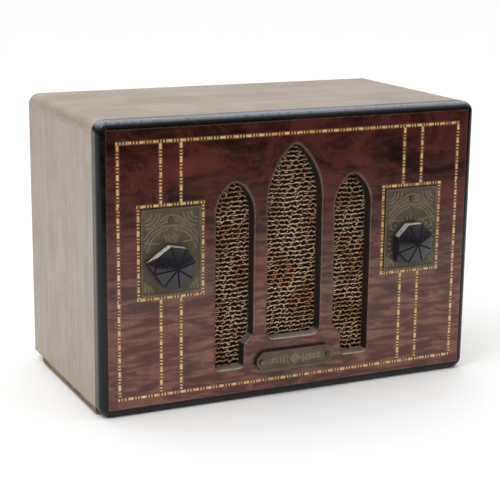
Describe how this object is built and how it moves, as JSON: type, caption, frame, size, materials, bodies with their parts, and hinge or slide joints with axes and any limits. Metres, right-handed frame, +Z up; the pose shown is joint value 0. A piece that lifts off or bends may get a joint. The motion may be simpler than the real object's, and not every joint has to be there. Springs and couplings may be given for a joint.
{
  "type": "tabletop radio",
  "caption": "Small wooden tabletop valve radio with pointed-arch loudspeaker openings, inlaid banding, black edge moulding and eight-sided pointer knobs; open back.",
  "frame": {"origin": "middle of the bottom of the bounding box, on the surface that the radio stands on", "axes": "+X to the right seen from the front, +Y from the front to the open back, +Z up"},
  "size_m": [0.254, 0.1454, 0.178],
  "materials": {
    "plywood_core": "bare, stained black inside the arches",
    "walnut_veneer": "old satin varnish, figured",
    "inlay_banding": "dyed light and dark inlay under old varnish",
    "weathered_wood": "faded, dry finish",
    "bottom_plywood": "bare",
    "black_lacquer": "worn black lacquer",
    "glue_block_wood": "bare sawn softwood",
    "felt": "pressed felt",
    "plated_screws": "dull plated",
    "bronze_plate": "olive-bronze, aged",
    "brass_pins": "aged",
    "grille_cloth": "woven, black with gold threads",
    "fibreboard": "matte",
    "speaker_paint": "black crackle",
    "cone_paper": "pressed paper",
    "cone_cloth": "doped cloth",
    "coil_winding": "enamelled wire on a paper former",
    "magnet_steel": "plated",
    "transformer_iron": "varnished laminations",
    "coil_wrap": "waxed paper",
    "chassis_steel": "cadmium plated",
    "grommet_rubber": "aged",
    "phenolic_wafer": "brown laminate",
    "tube_phenolic": "moulded",
    "tube_glass": "clear",
    "electrode_nickel": "grey",
    "cap_metal": "plated",
    "can_aluminium": "satin",
    "gang_steel": "plated",
    "vane_aluminium": "satin",
    "shaft_steel": "turned",
    "control_shell": "plated",
    "knob_bakelite": "moulded, worn",
    "lead_cloth": "braided cotton over rubber"
  },
  "bodies": {
    "cabinet": {"baffle_board": "fibreboard", "baffle_screws": "plated_screws", "bottom_board": "bottom_plywood", "bottom_screws": "plated_screws", "chassis": "chassis_steel", "coil_can": "can_aluminium", "cone_spider": "cone_cloth", "cone_surround": "cone_cloth", "cord_grommet": "grommet_rubber", "detector_tube_base": "tube_phenolic", "detector_tube_bulb": "tube_glass", "field_coil": "coil_winding", "field_pot": "magnet_steel", "filter_capacitor": "can_aluminium", "front_panel": "plywood_core", "front_veneer": "walnut_veneer", "gang_frame": "gang_steel", "glue_blocks": "glue_block_wood", "grid_caps": "cap_metal", "grid_leads": "lead_cloth", "grille_cloth": "grille_cloth", "inlay_border": "inlay_banding", "inlay_inner_lines": "inlay_banding", "moulding_bottom": "black_lacquer", "moulding_left": "black_lacquer", "moulding_right": "black_lacquer", "moulding_top": "black_lacquer", "nameplate": "bronze_plate", "nameplate_block": "black_lacquer", "output_tube_base": "tube_phenolic", "output_tube_bulb": "tube_glass", "plate_pins": "brass_pins", "pole_plate": "magnet_steel", "rear_feet": "felt", "rectifier_tube_base": "tube_phenolic", "rectifier_tube_bulb": "tube_glass", "rf_tube_base": "tube_phenolic", "rf_tube_bulb": "tube_glass", "side_panel_left": "weathered_wood", "side_panel_right": "weathered_wood", "speaker_basket": "speaker_paint", "speaker_bolts": "plated_screws", "speaker_leads": "lead_cloth", "stator_plates": "vane_aluminium", "top_panel": "weathered_wood", "transformer_coil": "coil_wrap", "transformer_core": "transformer_iron", "tube_electrodes": "electrode_nickel", "tube_sockets": "phenolic_wafer", "tuning_escutcheon": "bronze_plate", "volume_control": "control_shell", "volume_escutcheon": "bronze_plate"},
    "volume": {"volume_knob": "knob_bakelite", "volume_shaft": "shaft_steel"},
    "tuning": {"tuning_knob": "knob_bakelite", "tuning_shaft": "shaft_steel", "rotor_plates": "vane_aluminium"},
    "cone": {"speaker_cone": "cone_paper", "voice_coil": "coil_winding", "dust_cap": "cone_cloth"}
  },
  "joints": [
    {"name": "volume_turn", "type": "hinge", "parent": "cabinet", "child": "volume", "pos_m": [-0.0821, -0.0673, 0.0905], "axis": [0, 1, 0], "range_deg": [-56, 234]},
    {"name": "tuning_turn", "type": "hinge", "parent": "cabinet", "child": "tuning", "pos_m": [0.0821, -0.0673, 0.0905], "axis": [0, 1, 0], "range_deg": [0, 180]},
    {"name": "cone_travel", "type": "slide", "parent": "cabinet", "child": "cone", "axis": [0, 1, 0], "range_m": [-0.0008, 0.0008], "stiffness_N_per_m": 1500, "deforming": ["cone_surround", "cone_spider"]}
  ]
}
